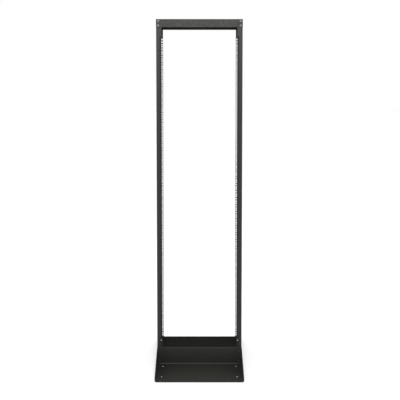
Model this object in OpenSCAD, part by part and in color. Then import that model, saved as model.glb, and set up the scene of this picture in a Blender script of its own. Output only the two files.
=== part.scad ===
// Two post open frame rack for 19 inch equipment, free standing. All sizes are in millimetres.
// X runs across the rack, -Y is its front and +Z is up. The origin is on the floor, at the
// centre of the base.

/* [Rack] */
// Distance between the left and right columns of equipment holes
hole_span = 465.1; // [300:0.1:700]
// Number of rack units that the uprights are punched for
units = 43; // [6:1:48]
// Height of the lowest rack unit above the floor, partly behind the base plates
unit_start = 79; // [60:1:150]
// Bare height of the uprights above the last rack unit, with the top angles on it
top_margin = 101; // [70:1:200]

/* [Equipment holes] */
// Width of the square equipment holes
hole_w = 9.5; // [7:0.1:10.5]
// Distance from the edge of a flange, at the opening, to the middle of its column of holes
hole_inset = 7.15; // [6.5:0.05:10]
// Height of one rack unit
unit_h = 44.45; // [44.45]
// Distance from the edge of a rack unit to its first hole
hole_edge = 6.35; // [6:0.05:7]

/* [Uprights] */
// Width of the uprights' flanges, from the rack's side to the opening
flange_w = 32.1; // [28:0.1:50]
// Depth of the uprights, from the front flange to the rear flange
upright_d = 101.6; // [76:0.1:160]
// Thickness of the upright's sheet
upright_t = 2.7; // [2:0.1:4]
// Inside radius of the upright's bends
upright_bend = 3; // [1:0.5:4]

/* [Top angles] */
// Height of the leg that is bolted to the uprights
top_leg_h = 47.5; // [46:0.5:65]
// Depth of the leg that lies over the uprights
top_leg_d = 38; // [20:1:50]
// Thickness of the top angles
top_t = 3; // [2:0.1:5]
// Inside radius of the fold
top_bend = 1.5; // [1:0.5:3]
// Clearance between the ends of the uprights and the leg over them
top_gap = 2; // [1:0.5:4]

/* [Base angles] */
// Height of the leg that is bolted to the uprights
base_h = 103; // [90:1:150]
// Reach of the foot beyond the upright
foot_d = 154; // [140:1:250]
// Thickness of the base angles
base_t = 4.8; // [3:0.1:6]
// Inside radius of the fold
base_bend = 6; // [4:0.5:8]
// Radius of the foot's free corners
foot_corner = 12; // [4:1:15]

/* [Anchor holes] */
// Diameter of the floor anchor holes
anchor_d = 10; // [8:0.5:18]
// Distance from the rack's side to the anchor holes
anchor_side = 37.5; // [36:0.5:60]
// Distance from the upright to the first row of anchor holes
anchor_start = 27; // [26:1:40]
// Distance between the two rows of anchor holes
anchor_pitch = 85; // [40:1:90]

/* [Gussets] */
// Width of the gusset's flanges
gusset_w = 25; // [22:0.5:28]
// Thickness of the gussets
gusset_t = 3; // [2:0.1:4]
// Height of the gusset's blunt ends
gusset_nose = 12; // [6:1:20]
// Clearance between the gusset's tip and the front edge of the foot
gusset_back = 10; // [8:1:30]

/* [Assembly bolts] */
// Diameter of the clearance holes for the bolts that hold the rack together
bolt_hole_d = 9; // [6.6:0.1:9]
// Distance from the rack's side to the bolts
bolt_side = 13.5; // [13:0.1:15]
// Distance from the rack's top to the first row of bolts
top_bolt_edge = 14; // [14:0.1:18]
// Distance between the two rows of bolts at the top
top_bolt_pitch = 25.4; // [20:0.1:28]
// Height of the lower row of bolts at the base
base_bolt_low = 27; // [25:1:35]
// Distance from the top of the base plates to the upper row of bolts
base_bolt_edge = 18; // [14:1:30]

/* [Hidden] */
$fn = 32;

coat = [0.17, 0.17, 0.165];
past = 1; // how far a cut runs past the face that it goes through

rack_h = unit_start + units * unit_h + top_margin;
upright_h = rack_h - top_t - top_gap;
hole_x = hole_span / 2;
opening_w = hole_span - 2 * hole_inset;
side_x = opening_w / 2 + flange_w;
rack_w = 2 * side_x;
face_y = upright_d / 2;
bolt_x = side_x - bolt_side;
anchor_x = side_x - anchor_side;

// Three holes in each rack unit: one near each edge, and one half way between them.
unit_holes = [hole_edge, unit_h / 2, unit_h - hole_edge];
equipment_z = [for (u = [0 : units - 1], z = unit_holes) unit_start + u * unit_h + z];
top_bolt_z = [rack_h - top_bolt_edge, rack_h - top_bolt_edge - top_bolt_pitch];
base_bolt_z = [base_bolt_low, base_h - base_bolt_edge];
anchor_y = [anchor_start, anchor_start + anchor_pitch];

// What a bend of radius r takes away from a square corner at the origin.
module corner(r) {
    difference() {
        square(r);
        translate([r, r]) circle(r);
    }
}

// A folded angle, with its corner at the origin and its legs along +X and +Y.
module angle_profile(leg_x, leg_y, t, bend) {
    difference() {
        square([leg_x, leg_y]);
        translate([t, t]) difference() {
            square([leg_x, leg_y]);
            corner(bend);
        }
        corner(bend + t);
    }
}

// Extrudes a profile across the rack. The profile's X becomes the rack's Y, and its Y becomes Z.
module across(x, w) {
    translate([x, 0, 0]) rotate([90, 0, 90]) linear_extrude(w) children();
}

// Round holes along Y, at one x and each of the heights, through whatever lies in the span of y.
module round_holes(x, heights, d, y, span) {
    for (z = heights)
        translate([x, y, z]) rotate([-90, 0, 0]) cylinder(d = d, h = span);
}

// Square holes in the same way.
module square_holes(x, heights, w, y, span) {
    for (z = heights)
        translate([x - w / 2, y, z - w / 2]) cube([w, span, w]);
}

// The channel's web is at the rack's side, and both of its flanges point at the opening.
module channel_profile() {
    difference() {
        translate([-side_x, -face_y]) square([flange_w, upright_d]);
        translate([upright_t - side_x, upright_t - face_y]) difference() {
            square([flange_w, upright_d - 2 * upright_t]);
            corner(upright_bend);
            translate([0, upright_d - 2 * upright_t]) mirror([0, 1]) corner(upright_bend);
        }
        translate([-side_x, -face_y]) corner(upright_bend + upright_t);
        translate([-side_x, face_y]) mirror([0, 1]) corner(upright_bend + upright_t);
    }
}

module upright() {
    color(coat) difference() {
        linear_extrude(upright_h) channel_profile();
        for (y = [-face_y - past, face_y - upright_t - past]) {
            square_holes(-hole_x, equipment_z, hole_w, y, upright_t + 2 * past);
            round_holes(-bolt_x, top_bolt_z, bolt_hole_d, y, upright_t + 2 * past);
            round_holes(-bolt_x, base_bolt_z, bolt_hole_d, y, upright_t + 2 * past);
        }
    }
}

module top_angle() {
    color(coat) difference() {
        translate([0, -face_y - top_t, rack_h]) mirror([0, 0, 1])
            across(-side_x, rack_w) angle_profile(top_leg_d, top_leg_h, top_t, top_bend);
        for (x = [-bolt_x, bolt_x])
            round_holes(x, top_bolt_z, bolt_hole_d, -face_y - top_t - past, top_t + 2 * past);
    }
}

module base_angle() {
    color(coat) difference() {
        translate([0, -face_y, 0]) mirror([0, 1, 0])
            across(-side_x, rack_w) angle_profile(foot_d, base_h, base_t, base_bend);
        for (x = [-bolt_x, bolt_x])
            round_holes(x, base_bolt_z, bolt_hole_d, -face_y - base_t - past, base_t + 2 * past);
        for (x = [-anchor_x, anchor_x], y = anchor_y)
            translate([x, -face_y - y, -past]) cylinder(d = anchor_d, h = base_t + 2 * past);
        for (side = [0, 1])
            mirror([side, 0, 0]) translate([-side_x, -face_y - foot_d, -past])
                linear_extrude(base_t + 2 * past) corner(foot_corner);
    }
}

// The web stands at the rack's side, and its sloping edge runs from the plate's top to the toe.
module gusset_web_profile() {
    reach = foot_d - base_t - gusset_back;
    rise = base_h - base_t;
    difference() {
        polygon([[0, 0], [reach, 0], [reach, gusset_nose], [gusset_nose, rise], [0, rise]]);
        corner(base_bend);
    }
}

// The flange is folded to lie on the plate, round its fold and along the foot.
module gusset_flange_profile() {
    angle_profile(foot_d - base_t - gusset_back, base_h - base_t, gusset_t, base_bend - gusset_t);
}

module gusset() {
    color(coat) difference() {
        translate([0, -face_y - base_t, base_t]) mirror([0, 1, 0]) union() {
            across(-side_x, gusset_t) gusset_web_profile();
            across(-side_x, gusset_w) gusset_flange_profile();
        }
        round_holes(-bolt_x, base_bolt_z, bolt_hole_d,
            -face_y - base_t - gusset_t - past, gusset_t + 2 * past);
    }
}

module left_upright() { upright(); }
module right_upright() { mirror([1, 0, 0]) upright(); }
module front_top_angle() { top_angle(); }
module rear_top_angle() { mirror([0, 1, 0]) top_angle(); }
module front_base_angle() { base_angle(); }
module rear_base_angle() { mirror([0, 1, 0]) base_angle(); }
module front_left_gusset() { gusset(); }
module front_right_gusset() { mirror([1, 0, 0]) gusset(); }
module rear_left_gusset() { mirror([0, 1, 0]) gusset(); }
module rear_right_gusset() { mirror([1, 0, 0]) mirror([0, 1, 0]) gusset(); }

left_upright();
right_upright();
front_top_angle();
rear_top_angle();
front_base_angle();
rear_base_angle();
front_left_gusset();
front_right_gusset();
rear_left_gusset();
rear_right_gusset();
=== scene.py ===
# %% [markdown]
# # A two post open frame rack
# This rack is four kinds of formed steel: two tall channels punched with equipment holes, two light
# angles across the top, two heavy angles that stand on the floor, and four gussets that brace them.
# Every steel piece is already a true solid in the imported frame, so this script leaves their shape
# alone. It gives them a powder coat, adds the bolts that hold them together, and lights the result.

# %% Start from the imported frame
import math

import bpy
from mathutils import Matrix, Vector


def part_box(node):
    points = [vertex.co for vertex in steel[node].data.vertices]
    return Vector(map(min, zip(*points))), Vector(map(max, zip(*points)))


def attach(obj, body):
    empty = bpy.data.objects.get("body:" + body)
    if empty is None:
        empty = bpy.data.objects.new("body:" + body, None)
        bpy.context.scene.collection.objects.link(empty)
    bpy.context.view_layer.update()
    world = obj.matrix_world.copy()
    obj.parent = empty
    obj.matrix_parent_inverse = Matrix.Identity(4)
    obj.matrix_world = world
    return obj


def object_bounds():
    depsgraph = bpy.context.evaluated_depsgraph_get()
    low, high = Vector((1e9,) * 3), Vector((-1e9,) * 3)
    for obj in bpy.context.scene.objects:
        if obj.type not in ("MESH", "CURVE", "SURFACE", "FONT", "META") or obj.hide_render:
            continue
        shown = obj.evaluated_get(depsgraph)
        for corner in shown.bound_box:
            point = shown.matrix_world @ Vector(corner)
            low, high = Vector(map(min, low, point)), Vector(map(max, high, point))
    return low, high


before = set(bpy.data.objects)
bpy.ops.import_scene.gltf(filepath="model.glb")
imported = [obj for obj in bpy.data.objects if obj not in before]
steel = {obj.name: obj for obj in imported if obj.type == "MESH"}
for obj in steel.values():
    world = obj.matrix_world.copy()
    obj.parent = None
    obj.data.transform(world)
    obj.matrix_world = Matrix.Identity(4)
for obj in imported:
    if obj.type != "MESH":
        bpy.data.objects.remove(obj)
cad_low, cad_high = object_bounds()
print("steel pieces:", ", ".join(sorted(steel)))
print("rack, in metres:", [round(v, 4) for v in cad_high - cad_low])

# %% [markdown]
# A rack is much taller than it is deep, so its look depends on where the eye is. From the height of a
# standing person the feet are seen from above and the top bar from just below. The camera is nearly
# level, which keeps the uprights parallel, and the lens is shifted down to take in the feet, as an
# architect's camera does.

# %% Camera
EYE_HEIGHT = 1.660
EYE_DISTANCE = 2.320
EYE_SIDE = 0.0036
TILT_DOWN = math.radians(2.0)

front_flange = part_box("left_upright")[0].y
camera_data = bpy.data.cameras.new("camera")
camera_data.lens = 35.0
camera_data.shift_y = -0.2363
camera = bpy.data.objects.new("camera", camera_data)
bpy.context.scene.collection.objects.link(camera)
camera.location = (EYE_SIDE, front_flange - EYE_DISTANCE, EYE_HEIGHT)
camera.rotation_euler = (math.radians(90) - TILT_DOWN, 0, 0)
bpy.context.scene.camera = camera
bpy.context.scene.view_settings.view_transform = "Standard"
print("camera at", [round(v, 3) for v in camera.location])

# %% [markdown]
# Shader trees are easier to read when one line makes a node, fills its sockets and returns it. A value
# that is another node's output socket becomes a link, and anything else is typed into the socket.

# %% A helper for node trees
def node(tree, kind, settings=None, **inputs):
    made = tree.nodes.new(kind)
    for name, value in (settings or {}).items():
        setattr(made, name, value)
    for name, value in inputs.items():
        socket = made.inputs[int(name[1:]) if name[0] == "_" else name.replace("_", " ")]
        if isinstance(value, bpy.types.NodeSocket):
            tree.links.new(value, socket)
        else:
            socket.default_value = value
    return made


# %% [markdown]
# The floor is a plain pale sheet. It is lit to nearly white, and a little of its own light, seen by
# the camera and in reflections only, takes it the rest of the way, so the shadows of the feet and the
# uprights still show on it. The world behind is the same white.

# %% Floor and surroundings
FLOOR_REACH = 30.0
FLOOR_TINT = (0.80, 0.80, 0.80, 1)
FLOOR_LIFT = 0.24
WORLD_FILL = 0.35


def seen_directly(tree):
    """One where the camera, a reflection or a clear material looks, and zero for ordinary light."""
    path = node(tree, "ShaderNodeLightPath")
    gloss = node(tree, "ShaderNodeMath", {"operation": "MAXIMUM"},
                 _0=path.outputs["Is Camera Ray"], _1=path.outputs["Is Glossy Ray"])
    both = node(tree, "ShaderNodeMath", {"operation": "MAXIMUM"},
                _0=gloss.outputs[0], _1=path.outputs["Is Transmission Ray"])
    return both.outputs[0]


def pale_floor():
    material = bpy.data.materials.new("pale_floor")
    material.use_nodes = True
    tree = material.node_tree
    shader = tree.nodes["Principled BSDF"]
    shader.inputs["Base Color"].default_value = FLOOR_TINT
    shader.inputs["Roughness"].default_value = 0.9
    shader.inputs["Specular IOR Level"].default_value = 0.0
    shader.inputs["Emission Color"].default_value = (1, 1, 1, 1)
    lift = node(tree, "ShaderNodeMath", {"operation": "MULTIPLY"},
                _0=seen_directly(tree), _1=FLOOR_LIFT)
    tree.links.new(lift.outputs[0], shader.inputs["Emission Strength"])
    return material


def make_floor():
    mesh = bpy.data.meshes.new("floor")
    corners = [(-1, -1), (1, -1), (1, 1), (-1, 1)]
    mesh.from_pydata([(x * FLOOR_REACH, y * FLOOR_REACH, 0) for x, y in corners], [], [(0, 1, 2, 3)])
    floor = bpy.data.objects.new("floor", mesh)
    bpy.context.scene.collection.objects.link(floor)
    mesh.materials.append(pale_floor())


def make_world():
    world = bpy.data.worlds.new("studio")
    bpy.context.scene.world = world
    world.use_nodes = True
    tree = world.node_tree
    strength = node(tree, "ShaderNodeMapRange", _0=seen_directly(tree), _1=0.0, _2=1.0,
                    _3=WORLD_FILL, _4=1.0)
    background = tree.nodes["Background"]
    background.inputs["Color"].default_value = (1, 1, 1, 1)
    tree.links.new(strength.outputs[0], background.inputs["Strength"])


make_floor()
make_world()
print("floor reaches", FLOOR_REACH, "m each way")

# %% [markdown]
# Two wide soft lamps stand to the left and right and throw the shadows of the uprights sideways
# across the floor. A panel high in front gives the sheen that fades down the uprights.

# %% Lamps
def soft_sun(name, azimuth, elevation, strength, spread):
    """A distant lamp. Azimuth 0 shines from the front and 90 from the right, in degrees."""
    data = bpy.data.lights.new(name, "SUN")
    data.energy = strength
    data.angle = math.radians(spread)
    lamp = bpy.data.objects.new(name, data)
    bpy.context.scene.collection.objects.link(lamp)
    a, e = math.radians(azimuth), math.radians(elevation)
    towards = Vector((math.sin(a) * math.cos(e), -math.cos(a) * math.cos(e), math.sin(e)))
    lamp.rotation_euler = towards.to_track_quat("Z", "Y").to_euler()


def panel(name, place, aim, size, power):
    data = bpy.data.lights.new(name, "AREA")
    data.shape = "RECTANGLE"
    data.size, data.size_y = size
    data.energy = power
    lamp = bpy.data.objects.new(name, data)
    bpy.context.scene.collection.objects.link(lamp)
    lamp.location = place
    lamp.rotation_euler = (Vector(place) - Vector(aim)).to_track_quat("Z", "Y").to_euler()


soft_sun("right_lamp", 85, 38, 1.6, 45)
soft_sun("left_lamp", -85, 38, 1.6, 45)
rack_top = cad_high.z
panel("front_panel", (0, -3.4, 2.9), (0, 0, rack_top - 0.2), (2.4, 1.0), 120)

# %% [markdown]
# Powder coat is a baked plastic film about a tenth of a millimetre thick. Up close it is pebbled like
# orange peel. Further away it varies slowly in depth of colour and gloss. Along the cut edges a much
# lighter colour is mixed in, partly wear where the film is thinnest and partly a painted highlight
# where the edges would catch the light.

# %% Powder coat
PEBBLE = 900
PATCH = 5
EDGE_RADIUS = 0.0012


def edge_mask(tree):
    """One along sharp edges: there the rounded normal and the true normal disagree."""
    rounded = node(tree, "ShaderNodeBevel", {"samples": 4}, Radius=EDGE_RADIUS)
    true = node(tree, "ShaderNodeNewGeometry")
    agree = node(tree, "ShaderNodeVectorMath", {"operation": "DOT_PRODUCT"},
                 _0=rounded.outputs[0], _1=true.outputs["Normal"])
    edge = node(tree, "ShaderNodeMapRange", _0=agree.outputs["Value"], _1=0.995, _2=0.93, _3=0.0, _4=1.0)
    return edge.outputs[0]


def powder_coat(name, deep, light, edge_wear_and_highlight, rough):
    material = bpy.data.materials.new(name)
    material.use_nodes = True
    tree = material.node_tree
    shader = tree.nodes["Principled BSDF"]
    place = node(tree, "ShaderNodeTexCoord").outputs["Object"]
    patches = node(tree, "ShaderNodeTexNoise", Vector=place, Scale=PATCH, Detail=4.0)
    smears = node(tree, "ShaderNodeTexNoise", Vector=place, Scale=60.0, Detail=3.0)
    pebbles = node(tree, "ShaderNodeTexNoise", Vector=place, Scale=PEBBLE, Detail=2.0)
    film = node(tree, "ShaderNodeMix", {"data_type": "RGBA"}, _0=patches.outputs[0])
    film.inputs[6].default_value = deep
    film.inputs[7].default_value = light
    # Painted highlight and wear: a much lighter colour is mixed in along sharp edges, made ragged by the
    # smears noise.
    ragged_wear_and_highlight = node(tree, "ShaderNodeMath", {"operation": "MULTIPLY", "use_clamp": True},
                  _0=edge_mask(tree), _1=smears.outputs[0])
    colour = node(tree, "ShaderNodeMix", {"data_type": "RGBA"}, _0=ragged_wear_and_highlight.outputs[0])
    tree.links.new(film.outputs[2], colour.inputs[6])
    colour.inputs[7].default_value = edge_wear_and_highlight
    tree.links.new(colour.outputs[2], shader.inputs["Base Color"])
    gloss = node(tree, "ShaderNodeMapRange", _0=smears.outputs[0], _1=0.3, _2=0.7,
                 _3=rough - 0.05, _4=rough + 0.05)
    tree.links.new(gloss.outputs[0], shader.inputs["Roughness"])
    bump = node(tree, "ShaderNodeBump", Strength=0.25, Distance=0.00025, Height=pebbles.outputs[0])
    tree.links.new(bump.outputs[0], shader.inputs["Normal"])
    shader.inputs["Specular IOR Level"].default_value = 0.22
    return material


# The third colour is laid along the edges, partly as wear and partly as a painted highlight.
coat = powder_coat("black_powder_coat", (0.013, 0.013, 0.0112, 1), (0.018, 0.018, 0.0155, 1),
                   (0.09, 0.088, 0.08, 1), 0.5)
for piece in steel.values():
    for slot in piece.material_slots:
        slot.material = coat
print("coated", len(steel), "pieces")

# %% [markdown]
# The fasteners have two finishes. Bolt heads are blacked to match the frame, with a little more
# gloss than the coat. The nuts inside the channels are plain bright zinc.

# %% Fastener finishes
def plated(name, colour, metal, rough):
    material = bpy.data.materials.new(name)
    material.use_nodes = True
    tree = material.node_tree
    shader = tree.nodes["Principled BSDF"]
    place = node(tree, "ShaderNodeTexCoord").outputs["Object"]
    grain = node(tree, "ShaderNodeTexNoise", Vector=place, Scale=700.0, Detail=3.0)
    tone = node(tree, "ShaderNodeMix", {"data_type": "RGBA"}, _0=grain.outputs[0])
    tone.inputs[6].default_value = tuple(0.8 * c for c in colour) + (1,)
    tone.inputs[7].default_value = tuple(min(1.0, 1.2 * c) for c in colour) + (1,)
    tree.links.new(tone.outputs[2], shader.inputs["Base Color"])
    gloss = node(tree, "ShaderNodeMapRange", _0=grain.outputs[0], _1=0.3, _2=0.7,
                 _3=rough - 0.08, _4=rough + 0.08)
    tree.links.new(gloss.outputs[0], shader.inputs["Roughness"])
    bump = node(tree, "ShaderNodeBump", Strength=0.1, Distance=0.0001, Height=grain.outputs[0])
    tree.links.new(bump.outputs[0], shader.inputs["Normal"])
    shader.inputs["Metallic"].default_value = metal
    return material


blacked_steel = plated("blacked_steel", (0.035, 0.034, 0.032), 0.6, 0.35)
bright_zinc = plated("bright_zinc", (0.62, 0.62, 0.60), 1.0, 0.3)
print("finishes:", blacked_steel.name, bright_zinc.name)

# %% [markdown]
# All sixteen bolts are alike, so one Geometry Nodes tree builds a head on its washer and sets a copy
# on each point of a small cloud. Each point carries the direction that its bolt faces, and a seeded
# random turn keeps the hexagons from lining up, as they never do on a real rack.

# %% Tree for bolt heads
HEX_CORNER = 1 / math.sqrt(3)  # from a hexagon's width across its flats to its corner radius


def new_tree(name, numbers, defaults=()):
    tree = bpy.data.node_groups.new(name, "GeometryNodeTree")
    face = tree.interface
    face.new_socket("Points", in_out="INPUT", socket_type="NodeSocketGeometry")
    for label in numbers:
        face.new_socket(label, in_out="INPUT", socket_type="NodeSocketFloat")
    face.new_socket("Seed", in_out="INPUT", socket_type="NodeSocketInt")
    face.new_socket("Finish", in_out="INPUT", socket_type="NodeSocketMaterial")
    face.new_socket("Fasteners", in_out="OUTPUT", socket_type="NodeSocketGeometry")
    return tree, tree.nodes.new("NodeGroupInput").outputs


def maths(tree, operation, a, b):
    return node(tree, "ShaderNodeMath", {"operation": operation}, _0=a, _1=b).outputs[0]


def lifted(tree, geometry, height):
    up = node(tree, "ShaderNodeCombineXYZ", Z=height).outputs[0]
    return node(tree, "GeometryNodeTransform", Geometry=geometry, Translation=up).outputs[0]


def hexagon(tree, across, height, chamfer):
    """A hexagonal block standing on z = 0, with its two ends drawn in by the chamfer."""
    radius = maths(tree, "MULTIPLY", across, HEX_CORNER)
    block = node(tree, "GeometryNodeMeshCylinder", {"fill_type": "NGON"}, Vertices=6,
                 Side_Segments=6, Radius=radius, Depth=height).outputs[0]
    spot = node(tree, "GeometryNodeInputPosition").outputs[0]
    parts = node(tree, "ShaderNodeSeparateXYZ", Vector=spot).outputs
    reach = maths(tree, "DIVIDE", maths(tree, "ABSOLUTE", parts["Z"], 0.0), height)
    drawn = node(tree, "ShaderNodeMapRange", _0=reach, _1=0.34, _2=0.5, _3=1.0, _4=chamfer).outputs[0]
    narrow = node(tree, "ShaderNodeCombineXYZ", X=drawn, Y=drawn, Z=1.0).outputs[0]
    moved = node(tree, "ShaderNodeVectorMath", {"operation": "MULTIPLY"}, _0=spot, _1=narrow).outputs[0]
    shaped = node(tree, "GeometryNodeSetPosition", Geometry=block, Position=moved).outputs[0]
    return lifted(tree, shaped, maths(tree, "MULTIPLY", height, 0.5))


def disc(tree, diameter, thickness):
    round_plate = node(tree, "GeometryNodeMeshCylinder", {"fill_type": "NGON"}, Vertices=28,
                       Radius=maths(tree, "MULTIPLY", diameter, 0.5), Depth=thickness).outputs[0]
    return lifted(tree, round_plate, maths(tree, "MULTIPLY", thickness, 0.5))


def finish_tree(tree, inputs, parts):
    """Joins the parts, sets one on every point, and ends in real faces with a material."""
    joined = tree.nodes.new("GeometryNodeJoinGeometry")
    for part in parts:
        tree.links.new(part, joined.inputs[0])
    facing = node(tree, "GeometryNodeInputNamedAttribute", {"data_type": "FLOAT_VECTOR"},
                  Name="facing").outputs[0]
    aimed = node(tree, "FunctionNodeAlignRotationToVector", {"axis": "Z"}, Vector=facing).outputs[0]
    turn = node(tree, "FunctionNodeRandomValue", {"data_type": "FLOAT"}, Seed=inputs["Seed"])
    turn.inputs[3].default_value = math.radians(60)
    spin = node(tree, "ShaderNodeCombineXYZ", Z=turn.outputs[1]).outputs[0]
    twisted = node(tree, "FunctionNodeRotateRotation", {"rotation_space": "LOCAL"},
                   _0=aimed, _1=spin).outputs[0]
    placed = node(tree, "GeometryNodeInstanceOnPoints", Points=inputs["Points"],
                  Instance=joined.outputs[0], Rotation=twisted).outputs[0]
    real = node(tree, "GeometryNodeRealizeInstances", Geometry=placed).outputs[0]
    painted = node(tree, "GeometryNodeSetMaterial", Geometry=real, Material=inputs["Finish"]).outputs[0]
    tree.links.new(painted, tree.nodes.new("NodeGroupOutput").inputs[0])
    return tree


def head_tree():
    sizes = ["Across flats", "Head height", "Washer diameter", "Washer thickness"]
    tree, inputs = new_tree("hex_bolt_heads", sizes)
    washer = disc(tree, inputs["Washer diameter"], inputs["Washer thickness"])
    head = hexagon(tree, inputs["Across flats"], inputs["Head height"], 0.9)
    return finish_tree(tree, inputs, [washer, lifted(tree, head, inputs["Washer thickness"])])


heads = head_tree()
print("tree:", heads.name, "inputs:", [s.name for s in heads.interface.items_tree if s.in_out == "INPUT"])

# %% [markdown]
# The other end of each bolt is a washer, a nut and a few turns of thread. The thread is a cylinder
# whose radius rises and falls along a helix: a sawtooth of the height divided by the pitch, plus the
# angle round the axis.

# %% Tree for nuts and thread ends
def thread(tree, diameter, length, pitch):
    rod = node(tree, "GeometryNodeMeshCylinder", {"fill_type": "NGON"}, Vertices=16, Side_Segments=60,
               Radius=maths(tree, "MULTIPLY", diameter, 0.5), Depth=length).outputs[0]
    spot = node(tree, "GeometryNodeInputPosition").outputs[0]
    parts = node(tree, "ShaderNodeSeparateXYZ", Vector=spot).outputs
    angle = maths(tree, "ARCTAN2", parts["Y"], parts["X"])
    turns = maths(tree, "ADD", maths(tree, "DIVIDE", parts["Z"], pitch),
                  maths(tree, "DIVIDE", angle, 2 * math.pi))
    ridge = maths(tree, "PINGPONG", turns, 0.5)
    drawn = node(tree, "ShaderNodeMapRange", _0=ridge, _1=0.0, _2=0.5, _3=0.86, _4=1.0).outputs[0]
    narrow = node(tree, "ShaderNodeCombineXYZ", X=drawn, Y=drawn, Z=1.0).outputs[0]
    moved = node(tree, "ShaderNodeVectorMath", {"operation": "MULTIPLY"}, _0=spot, _1=narrow).outputs[0]
    shaped = node(tree, "GeometryNodeSetPosition", Geometry=rod, Position=moved).outputs[0]
    return lifted(tree, shaped, maths(tree, "MULTIPLY", length, 0.5))


def nut_tree():
    sizes = ["Across flats", "Nut height", "Washer diameter", "Washer thickness",
             "Thread diameter", "Thread pitch", "Thread length"]
    tree, inputs = new_tree("nuts_and_thread_ends", sizes)
    washer = disc(tree, inputs["Washer diameter"], inputs["Washer thickness"])
    nut = hexagon(tree, inputs["Across flats"], inputs["Nut height"], 0.9)
    rod = thread(tree, inputs["Thread diameter"], inputs["Thread length"], inputs["Thread pitch"])
    return finish_tree(tree, inputs, [washer, lifted(tree, nut, inputs["Washer thickness"]), rod])


nuts = nut_tree()
print("tree:", nuts.name, "nodes:", len(nuts.nodes))

# %% [markdown]
# The bolts go where the frame is drilled: two at each end of each top angle and two at each end of
# each base plate, on one line 13.5 mm in from the rack's side. A bolt's head seats on the outermost
# sheet and its nut on the inside of the upright's flange.

# %% Where the bolts go
BOLT_SIDE = 0.0135
TOP_ROWS = (0.014, 0.0394)
BASE_LOW = 0.027
BASE_EDGE = 0.018
FLANGE = 0.0027
GUSSET = 0.003

top_low, top_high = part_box("front_top_angle")
base_low, base_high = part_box("front_base_angle")
gusset_low, gusset_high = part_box("front_left_gusset")
upright_low, upright_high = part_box("left_upright")
bolt_x = cad_high.x - BOLT_SIDE
top_rows = [cad_high.z - row for row in TOP_ROWS]
base_rows = [BASE_LOW, base_high.z - BASE_EDGE]


def bolt_points(rows, depth, facing):
    """Points at both sides of the rack on its front and its rear, each with the way it faces."""
    points = [(x, way * depth, z) for way in (-1, 1) for x in (-bolt_x, bolt_x) for z in rows]
    return points, [(0, (1 if y > 0 else -1) * facing, 0) for x, y, z in points]


top_seat = -top_low.y
base_seat = -gusset_high.y + GUSSET
inside = -upright_low.y - FLANGE
print("head seats, mm from the middle:", round(1000 * top_seat, 1), round(1000 * base_seat, 1))

# %% [markdown]
# A modifier finds its sizes by each socket's identifier. They are all set before the tree is first
# evaluated, then the result is copied into a plain mesh, and the cloud of points is thrown away.

# %% Make the fasteners
def grow(name, tree, points, facings, sizes, finish, seed):
    cloud = bpy.data.meshes.new(name + "_points")
    cloud.from_pydata(points, [], [])
    arrows = cloud.attributes.new("facing", "FLOAT_VECTOR", "POINT")
    for arrow, facing in zip(arrows.data, facings):
        arrow.vector = facing
    seed_object = bpy.data.objects.new(name + "_points", cloud)
    bpy.context.scene.collection.objects.link(seed_object)
    modifier = seed_object.modifiers.new(name, "NODES")
    modifier.node_group = tree
    values = {**sizes, "Seed": seed, "Finish": finish}
    for socket in tree.interface.items_tree:
        if socket.in_out == "INPUT" and socket.name in values:
            modifier[socket.identifier] = values[socket.name]
    graph = bpy.context.evaluated_depsgraph_get()
    mesh = bpy.data.meshes.new_from_object(seed_object.evaluated_get(graph))
    bpy.data.objects.remove(seed_object)
    mesh.name = name
    mesh.polygons.foreach_set("use_smooth", [True] * len(mesh.polygons))
    mesh.set_sharp_from_angle(angle=math.radians(35))
    piece = bpy.data.objects.new(name, mesh)
    bpy.context.scene.collection.objects.link(piece)
    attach(piece, "root")
    print(name, len(mesh.polygons), "faces")
    return piece


HEAD = {"Across flats": 0.013, "Head height": 0.0053, "Washer diameter": 0.016, "Washer thickness": 0.0016}
NUT = {"Across flats": 0.013, "Nut height": 0.0065, "Washer diameter": 0.016, "Washer thickness": 0.0016,
       "Thread diameter": 0.008, "Thread pitch": 0.00125, "Thread length": 0.011}

grow("top_bolt_heads", heads, *bolt_points(top_rows, top_seat, 1), HEAD, blacked_steel, 3)
grow("base_bolt_heads", heads, *bolt_points(base_rows, base_seat, 1), HEAD, blacked_steel, 5)
grow("top_nuts", nuts, *bolt_points(top_rows, inside, -1), NUT, bright_zinc, 7)
grow("base_nuts", nuts, *bolt_points(base_rows, inside, -1), NUT, bright_zinc, 11)
